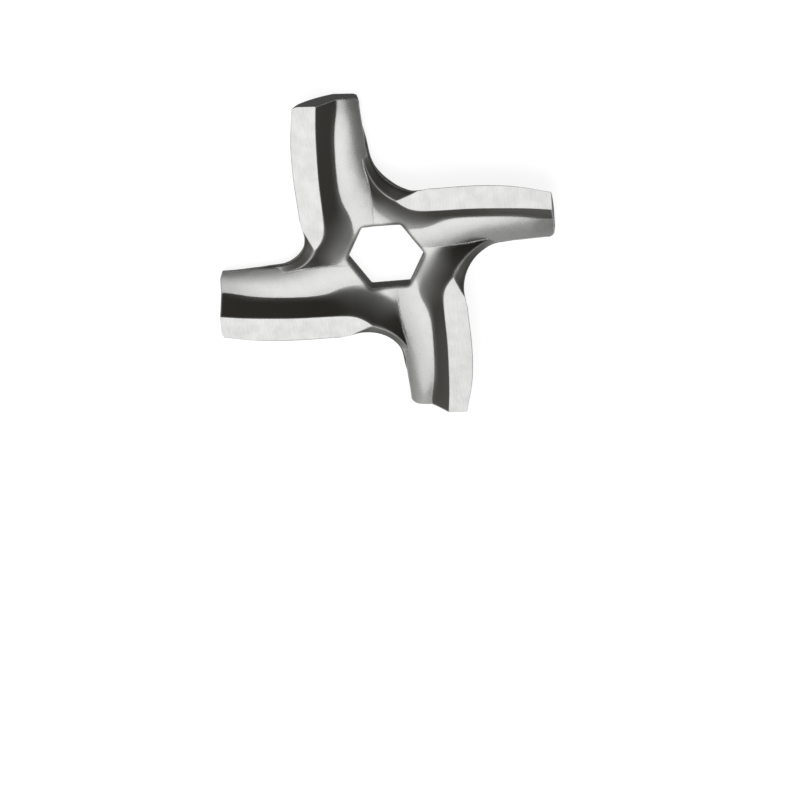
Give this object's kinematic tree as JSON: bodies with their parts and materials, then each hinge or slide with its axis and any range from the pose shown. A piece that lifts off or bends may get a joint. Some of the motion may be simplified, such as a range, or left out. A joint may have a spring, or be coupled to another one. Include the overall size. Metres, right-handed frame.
{
  "type": "meat grinder knife",
  "caption": "Four-armed swirl-shaped cutting knife with a hexagonal drive hole and ground cutting lands, for a small meat grinder.",
  "frame": {"origin": "centre of the drive hole, in the plane of the flat base face", "axes": "+Z along the grinder's axis from the base face to the ground cutting lands; +X along one arm, through a corner of the hexagonal hole; +Y along the next arm"},
  "size_m": [0.0452, 0.0452, 0.0041],
  "materials": {
    "steel": "cast and smoothed, lands and base face ground"
  },
  "bodies": {
    "root": {"knife": "steel"}
  },
  "joints": []
}
